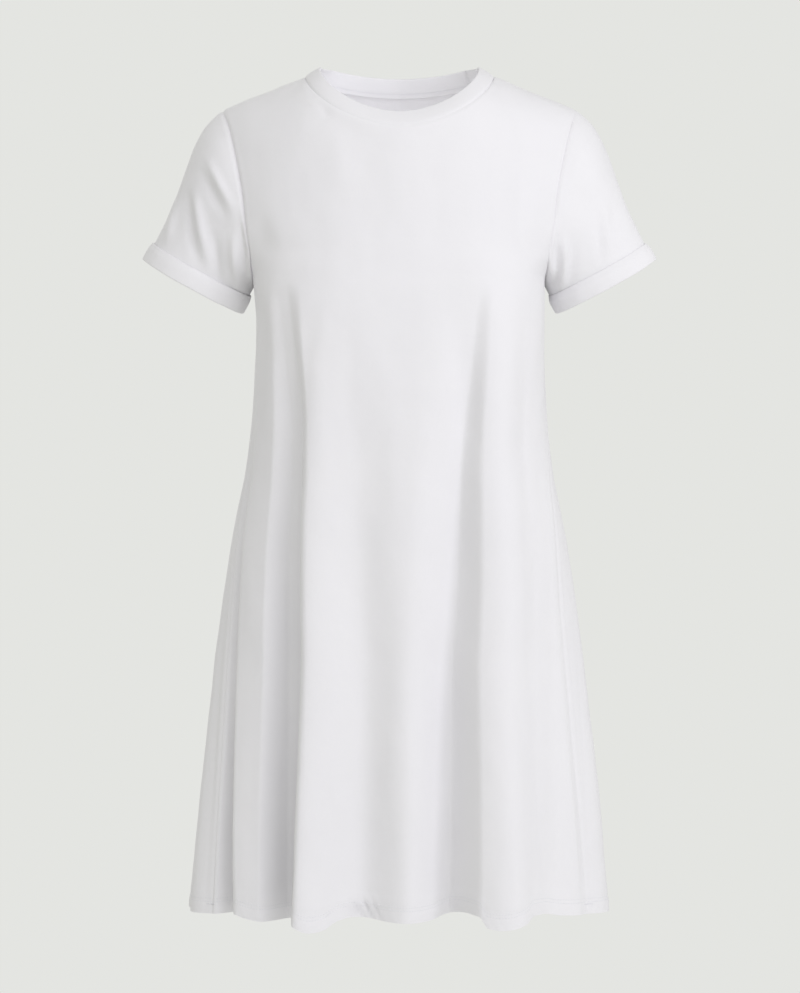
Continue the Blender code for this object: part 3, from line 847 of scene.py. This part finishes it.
def sleeve_relief(grid, turns, side):
    """Creases, the armhole seam's dip and soft unevenness."""
    forward = smoothstep(-0.3, 0.3, np.sin(turns))[None, :]
    lift = crease_height(grid, SLEEVE_FRONT_CREASES[side]) * forward
    lift += crease_height(grid, SLEEVE_BACK_CREASES[side]) * (1 - forward)
    from_seam = run_down(grid)
    waves = ripple(grid, size=0.030, depth=0.0007, seed=3.0 + side)
    waves += ripple(grid, size=0.012, depth=0.0002, seed=9.0 + side)
    lift = (lift + waves) * smoothstep(0.0, 0.012, from_seam)
    return lift + seam_relief(from_seam, SEAM_DIP[side])


def sleeve_piece(node, ring, ring_normals, side, material):
    """A sleeve from its armhole seam down to just inside the bottom of its cuff."""
    turns = sleeve_turns(ring)
    start = ring + np.array([SEAM_GAP * side, 0.0, 0.0])
    cuff = sleeve_oval(turns, 0.0, side)
    rise = 0.5 + 0.5 * np.cos(turns)
    outward = unit(sleeve_oval(turns, 0.0, side, out=0.01) - cuff)
    shares = np.linspace(0.0, 1.0, SLEEVE_STEPS)
    rows = []
    for k in shares:
        bulge = CAP_BULGE * CAP_BULGE_SCALE * k * (1 - k) ** 3 * rise
        rows.append(start * (1 - k) + cuff * k + outward * bulge[:, None])
    for beyond in np.linspace(0.0, CUFF_HEIGHT - UNDER_CUFF_STOP, UNDER_CUFF_STEPS)[1:]:
        rows.append(sleeve_oval(turns, beyond, side))
        shares = np.append(shares, 1.0)
    grid = np.array(rows)
    relief = sleeve_relief(grid, turns, side)
    hidden = smoothstep(0.97, 1.0, shares)[:, None]
    relief = relief * (1 - hidden) + np.minimum(relief, 0.0) * hidden * UNDER_CUFF_RELIEF
    if side < 0:
        grid, relief, ring_normals = grid[:, ::-1], relief[:, ::-1], ring_normals[::-1]
    normals = grid_normals(grid, closed=True)
    above_seam = (grid[0, :, 2] - UNDERARM_Z - CAP_SEAM_LIFT) / CAP_SEAM_BLEND
    shared = np.clip(above_seam, 0.0, 1.0)[:, None]
    normals[0] = unit(normals[0] * (1 - shared) + ring_normals * shared)
    outer = grid + normals * relief[:, :, None]
    piece = shell_object(node + "_cloth", outer, outer - normals * CLOTH, True,
                         run_across(grid), -run_down(grid))
    finish_piece(piece, node, material)
    return piece


def rounded_profile(width, thickness, corner, steps=6):
    """(along, out) points round a strip's section, from its inner low corner, anticlockwise."""
    points = []
    corners = ((width - corner, thickness - corner, 0.0), (corner, thickness - corner, 90.0),
               (corner, corner, 180.0), (width - corner, corner, 270.0))
    for along, out, first in corners:
        for angle in np.radians(np.linspace(first, first + 90.0, steps)):
            points.append((along + corner * np.cos(angle), out + corner * np.sin(angle)))
    return np.array(points)


def resampled(profile, step):
    """A closed profile with extra points so that no span is longer than step."""
    points = []
    for a, b in zip(profile, np.roll(profile, -1, axis=0)):
        spans = max(1, int(np.ceil(np.linalg.norm(b - a) / step)))
        points += [a + (b - a) * i / spans for i in range(spans)]
    return np.array(points)


def tube_object(name, rings):
    """A closed ring whose section is a closed profile: rings[i][j] is profile point i, place j."""
    rows, columns = rings.shape[:2]
    at = np.arange(rows * columns).reshape(rows, columns)
    at = np.concatenate([at, at[:1]], axis=0)
    at = np.concatenate([at, at[:, :1]], axis=1)
    closed = np.concatenate([rings, rings[:1]], axis=0)
    down = run_down(closed)
    across = run_across(np.concatenate([rings, rings[:, :1]], axis=1))
    across = np.concatenate([across, across[:1]], axis=0)
    across = np.broadcast_to(across.mean(axis=0), across.shape)
    down = np.concatenate([down, down[:, :1]], axis=1)
    uv = np.stack([across, -down], axis=2)

    return add_object(name, cloth_mesh(name, rings.reshape(-1, 3), quads(at), quads(uv)))


def noise_round(turns, patches, seed):
    """Smooth unevenness round a closed ring."""
    circle = [(np.cos(t) * patches, np.sin(t) * patches, seed) for t in turns]
    return np.array([noise.noise(Vector(p)) for p in circle])


def cuff_piece(node, side, material):
    """The turned-up cuff: a soft fold at the bottom and a slightly loose top edge."""
    places = np.linspace(0.0, 2 * np.pi, CUFF_COLUMNS, endpoint=False)
    turns = places if side < 0 else -places
    profile = resampled(rounded_profile(CUFF_HEIGHT, CUFF_WALL, CUFF_CORNER), STRIP_SPAN["cuff"])
    wave = noise_round(turns, 1.7, 4.0 * side)
    fine = noise_round(turns, 6.0, 7.0 * side)
    rings = []
    for along, out in profile:
        beyond = along + CUFF_WAVE * wave
        up = 1 - along / CUFF_HEIGHT
        crown = CUFF_CROWN * np.sin(np.pi * up)
        loose = CUFF_SLACK * up ** 2 * (1 + wave) + CUFF_RUFFLE * fine
        outer = smoothstep(0.0, CUFF_WALL, out)
        thin = 1 - CUFF_TAPER[side] * smoothstep(CUFF_TAPER_START, 1.0, up)
        rings.append(sleeve_oval(turns, beyond[:, None], side,
                                 out=CUFF_LIFT + out * thin + (crown + loose) * outer))
    piece = tube_object(node + "_cloth", np.array(rings))
    finish_piece(piece, node, material)
    return piece


# --- Neckband ---

def neck_ring(front, back):
    """The neck seam, once round."""
    first, last = SHOULDER_COLUMNS, SHOULDER_COLUMNS + NECK_COLUMNS
    return np.concatenate([front[0, first:last + 1], back[0, first + 1:last][::-1]])


def softened(path, spread):
    """A closed row of vectors, each replaced by the weighted mean of those around it."""
    places = np.arange(-3 * spread, 3 * spread + 1)
    weights = bell(places, spread)
    total = sum(w * np.roll(path, p, axis=0) for p, w in zip(places, weights))
    return total / weights.sum()


def neckband_piece(ring, material):
    """A doubled band, soft at its fold, drawn into the neck seam."""
    centre = np.array([0.0, section(0.0, "middle")])
    from_centre = ring[:, :2] - centre
    bearings = np.degrees(np.arctan2(from_centre[:, 0], -from_centre[:, 1]))
    lean_in = column(BAND_LEAN, BAND_COLUMNS, "inward", np.abs(bearings))
    lift = column(BAND_LEAN, BAND_COLUMNS, "up", np.abs(bearings))
    inward = unit(-from_centre)
    direction = unit(np.column_stack([inward * lean_in[:, None], lift]))
    tangent = unit(np.roll(ring, -1, axis=0) - np.roll(ring, 1, axis=0))
    outward = unit(softened(np.cross(tangent, direction), BAND_SPREAD))
    direction = unit(softened(direction, BAND_SPREAD))
    soft_ring = softened(ring, BAND_SPREAD)
    profile = resampled(rounded_profile(BAND_HEIGHT, BAND_WALL, BAND_CORNER), STRIP_SPAN["band"])
    join = np.zeros(len(ring))
    at_join = np.argmin(np.abs(bearings - BAND_JOIN))
    join[at_join - 1:at_join + 1] = 1.0, -0.6  # a dip, and a slight step beside it
    wave = np.array([noise.noise(Vector((*(p[:2] * BAND_PATCHES), 2.0))) for p in ring])
    rings = []
    for along, out in profile:
        share = along / BAND_HEIGHT
        crown = BAND_CROWN * np.sin(np.pi * share) + BAND_WAVE * wave * share
        low = 1 - smoothstep(0.0, BAND_SINK_HEIGHT, along)
        outer = smoothstep(0.0, BAND_WALL, out)
        swell = (crown - BAND_JOIN_DIP * join) * (2 * outer - 1)
        offset = out - BAND_WALL + swell - BAND_SINK * low
        inside = (1 - outer) * (1 - smoothstep(0.0, SEAM_ALLOWANCE_HEIGHT, along))
        reach = along + SEAM_GAP - SEAM_ALLOWANCE * inside
        base = ring + (soft_ring - ring) * smoothstep(0.0, BAND_HEIGHT, along)
        rings.append(base + direction * reach + outward * offset[:, None])
    piece = tube_object("neckband_cloth", np.array(rings))
    finish_piece(piece, "neckband", material)
    return piece, direction, outward


# --- Stitches ---

Stitch = namedtuple("Stitch", "length pitch radius")
HEM_STITCH = Stitch(length=0.0024, pitch=0.0031, radius=0.00030)
TACK_STITCH = Stitch(length=0.0017, pitch=0.0019, radius=0.00055)
BAND_STITCH = Stitch(length=0.0016, pitch=0.0024, radius=0.00042)
# Across a stitch's run, from one end to the other, how its radius swells and tapers.
STITCH_SWELL = ((0.0, 0.35), (0.18, 0.9), (0.5, 1.05), (0.82, 0.9), (1.0, 0.35))
STITCH_SIDES = 6
HEM_ROW_GAP = 0.0035
TACK_COLUMNS = 4
TACK_HEIGHT = 0.6 * HEM_DEPTH
BAND_STITCH_HEIGHT = 0.0042
BAND_STITCH_PROUD = 0.0005
BAND_STITCH_Y = 0.045


def between(at, run, values):
    """The vector at a distance along a path whose vectors are given at the distances run."""
    return np.array([np.interp(at, run, values[:, i]) for i in range(3)])


def stitches(name, path, outward, stitch, material):
    """Short rounded stitches laid end to end along a path, joined into one mesh."""
    steps = np.linalg.norm(np.diff(path, axis=0), axis=1)
    run = np.concatenate([[0.0], np.cumsum(steps)])
    turns = np.arange(STITCH_SIDES) * 2 * np.pi / STITCH_SIDES
    points, faces = [], []
    for start in np.arange(0.4 * stitch.pitch, run[-1] - stitch.pitch, stitch.pitch):
        base = len(points)
        for share, size in STITCH_SWELL:
            at = start + share * stitch.length
            spot = between(at, run, path)
            forward = unit(between(at + 1e-4, run, path) - spot)
            sideways = unit(np.cross(forward, between(at, run, outward)))
            up = np.cross(sideways, forward)
            middle = spot + up * stitch.radius * (0.35 * np.sin(np.pi * share) - 0.25)
            for turn in turns:
                out = sideways * np.cos(turn) + up * np.sin(turn)
                points.append(middle + stitch.radius * size * out)
        for r in range(len(STITCH_SWELL) - 1):
            for i in range(STITCH_SIDES):
                j = (i + 1) % STITCH_SIDES
                low, high = base + r * STITCH_SIDES, base + (r + 1) * STITCH_SIDES
                faces.append((low + i, low + j, high + j, high + i))
        last = base + (len(STITCH_SWELL) - 1) * STITCH_SIDES
        faces.append(tuple(base + i for i in reversed(range(STITCH_SIDES))))
        faces.append(tuple(last + i for i in range(STITCH_SIDES)))
    data = bpy.data.meshes.new(name)
    data.from_pydata([tuple(p) for p in points], [], faces)
    data.shade_smooth()
    piece = add_object(name, data)
    piece.data.materials.append(material)
    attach(piece, "root")
    return piece


def hem_stitches(name, outer, normals, material):
    """The coverstitch that holds the hem: two rows a few millimetres apart."""
    down = run_down(outer)
    above = down[-1:] - down
    rows = []
    for height in (HEM_DEPTH, HEM_DEPTH - HEM_ROW_GAP):
        path = np.array([between(-height, -above[:, c], outer[:, c])
                         for c in range(outer.shape[1])])
        row = int(np.argmin(np.abs(above[:, 0] - height)))
        rows.append(stitches(name, path, normals[row], HEM_STITCH, material))
    joined = rows[0]
    with bpy.context.temp_override(active_object=joined, selected_editable_objects=rows,
                                   selected_objects=rows, object=joined):
        bpy.ops.object.join()
    return joined


def side_tack(name, front, back, front_facing, back_facing, side, material):
    """The short bar of stitches that closes the hem across a side seam."""
    row = int(np.argmin(np.abs(front[:, 0, 2] - HEM_Z - TACK_HEIGHT)))
    order = -1 if side > 0 else 1

    def across_seam(ahead, behind):
        return np.concatenate([behind[row, ::order][TACK_COLUMNS:0:-1],
                               ahead[row, ::order][1:TACK_COLUMNS]])

    path = across_seam(front, back)
    facing = across_seam(front_facing, back_facing)
    return stitches(name, path, facing, TACK_STITCH, material)


def band_stitches(ring, direction, outward, material):
    """The stitches that hold the neck seam inside the back of the band."""
    behind = ring[:, 1] > BAND_STITCH_Y
    path = ring + direction * BAND_STITCH_HEIGHT - outward * (BAND_WALL + BAND_STITCH_PROUD)
    return stitches("neckband_stitches", path[behind], -outward[behind], BAND_STITCH, material)


# --- Light, floor and camera ---

WORLD_COLOUR = (1.0, 1.0, 0.96)
WORLD_STRENGTH = 0.635
BACKDROP_COLOUR = (0.776, 0.783, 0.757)
CAMERA_PLACE = (0.0005, -2.6, -0.4447)
VIEW_HEIGHT = 1.0526
SENSOR = 36.0
FLOOR_Z = -1.45
FLOOR_RADIUS = 1.9

DAYLIGHT = (1.0, 0.99, 1.08)
SOFT_WHITE = (1.0, 0.99, 1.02)
INNER_WHITE = (1.0, 0.99, 1.0)
DRESS_MIDDLE = (0.0, 0.0, CAMERA_PLACE[2])
BACK_NECK = (0.0, 0.07, 0.0)
# Name, place, aim, size, power in watts and colour. The inner glow stands for the light that
# comes through the thin white cloth of the chest.
LAMPS = (
    ("key", (2.2, -1.9, 0.1), DRESS_MIDDLE, (0.6, 0.8), 11.0, DAYLIGHT),
    ("key_softbox", (1.6, -2.6, 0.6), DRESS_MIDDLE, (1.4, 1.6), 17.4, DAYLIGHT),
    ("front_softbox", (0.3, -2.6, 1.5), DRESS_MIDDLE, (1.6, 1.0), 12.0, DAYLIGHT),
    ("back_softbox", (-1.3, 2.7, 0.5), DRESS_MIDDLE, (1.2, 1.6), 9.0, SOFT_WHITE),
    ("inner_glow", (0.0, -0.03, -0.26), BACK_NECK, (0.10, 0.10), 0.17, INNER_WHITE),
)


def set_world():
    """Soft light from all round, seen by the camera as a plain pale backdrop."""
    world = bpy.data.worlds.new("studio")
    bpy.context.scene.world = world
    world.use_nodes = True
    tree = world.node_tree
    soft = tree.nodes["Background"]
    soft.inputs["Color"].default_value = (*WORLD_COLOUR, 1.0)
    soft.inputs["Strength"].default_value = WORLD_STRENGTH
    seen = tree.nodes.new("ShaderNodeBackground")
    seen.inputs["Color"].default_value = (*BACKDROP_COLOUR, 1.0)
    path = tree.nodes.new("ShaderNodeLightPath")
    mix = tree.nodes.new("ShaderNodeMixShader")
    tree.links.new(path.outputs["Is Camera Ray"], mix.inputs[0])
    tree.links.new(soft.outputs[0], mix.inputs[1])
    tree.links.new(seen.outputs[0], mix.inputs[2])
    tree.links.new(mix.outputs[0], tree.nodes["World Output"].inputs["Surface"])


def add_lamp(name, place, aim, size, power, colour):
    light = bpy.data.lights.new(name, "AREA")
    light.shape = "RECTANGLE"
    light.size, light.size_y = size
    light.energy = power
    light.color = colour
    lamp = bpy.data.objects.new(name, light)
    lamp.location = place
    lamp.rotation_euler = (Vector(aim) - Vector(place)).to_track_quat("-Z", "Y").to_euler()
    bpy.context.scene.collection.objects.link(lamp)


def add_floor():
    """A round sheet of pale paper, well below the hem."""
    bpy.ops.mesh.primitive_circle_add(vertices=96, radius=FLOOR_RADIUS, fill_type="NGON",
                                      location=(0.0, 0.0, FLOOR_Z))
    floor = bpy.context.object
    floor.name = "floor"
    n = Nodes("floor_paper")
    place = n.tree.nodes.new("ShaderNodeTexCoord").outputs["Object"]
    mottle = n.noise(place, scale=3.0)
    n.link(n.colours(mottle, PAPER, PAPER_DARK), n.surface.inputs["Base Color"])
    n.surface.inputs["Roughness"].default_value = 0.95
    floor.data.materials.append(n.material)


def add_camera():
    """A level camera in front of the dress, which takes in VIEW_HEIGHT there."""
    lens = bpy.data.cameras.new("camera")
    lens.sensor_width = SENSOR
    lens.lens = SENSOR * -CAMERA_PLACE[1] / VIEW_HEIGHT
    camera = bpy.data.objects.new("camera", lens)
    camera.location = CAMERA_PLACE
    camera.rotation_euler = (np.pi / 2, 0.0, 0.0)
    bpy.context.scene.collection.objects.link(camera)
    bpy.context.scene.camera = camera


# --- The dress ---

front_grid = body_grid(-1, FRONT_FOLDS)
back_grid = body_grid(1, BACK_FOLDS)
front_normals, back_normals = body_normals()
front_relief = body_relief(front_grid, FRONT_CREASES, seed=1.0)
back_relief = body_relief(back_grid, BACK_CREASES, seed=11.0)

body_jersey = jersey("jersey_body")
sleeve_jersey = jersey("jersey_sleeve")
cuff_jersey = jersey("jersey_cuff")
band_jersey = jersey("jersey_band", wale=0.0007, course=0.0006)
white_thread = thread("white_thread")

front, front_outer = body_piece("front", front_grid, front_normals, front_relief, body_jersey)
back, back_outer = body_piece("back", back_grid, back_normals, back_relief, body_jersey)
for name, side in (("right", -1), ("left", 1)):
    ring = armhole_ring(front_grid, back_grid, side)
    ring_normals = armhole_ring(front_normals, back_normals, side)
    sleeve = sleeve_piece("sleeve_" + name, ring, ring_normals, side, sleeve_jersey)
    cuff = cuff_piece("cuff_" + name, side, cuff_jersey)
neck_seam = neck_ring(front_grid, back_grid)
band, band_up, band_out = neckband_piece(neck_seam, band_jersey)
neck_stitches = band_stitches(neck_seam, band_up, band_out, white_thread)

front_stitches = hem_stitches("front_hem_stitches", front_outer, front_normals, white_thread)
back_stitches = hem_stitches("back_hem_stitches", back_outer, back_normals, white_thread)

tacks = [side_tack("side_tack_" + name, front_outer, back_outer, front_normals, back_normals,
                   side, white_thread) for name, side in (("right", -1), ("left", 1))]

bpy.context.scene.view_settings.view_transform = "Standard"
set_world()
for lamp in LAMPS:
    add_lamp(*lamp)
add_floor()
add_camera()
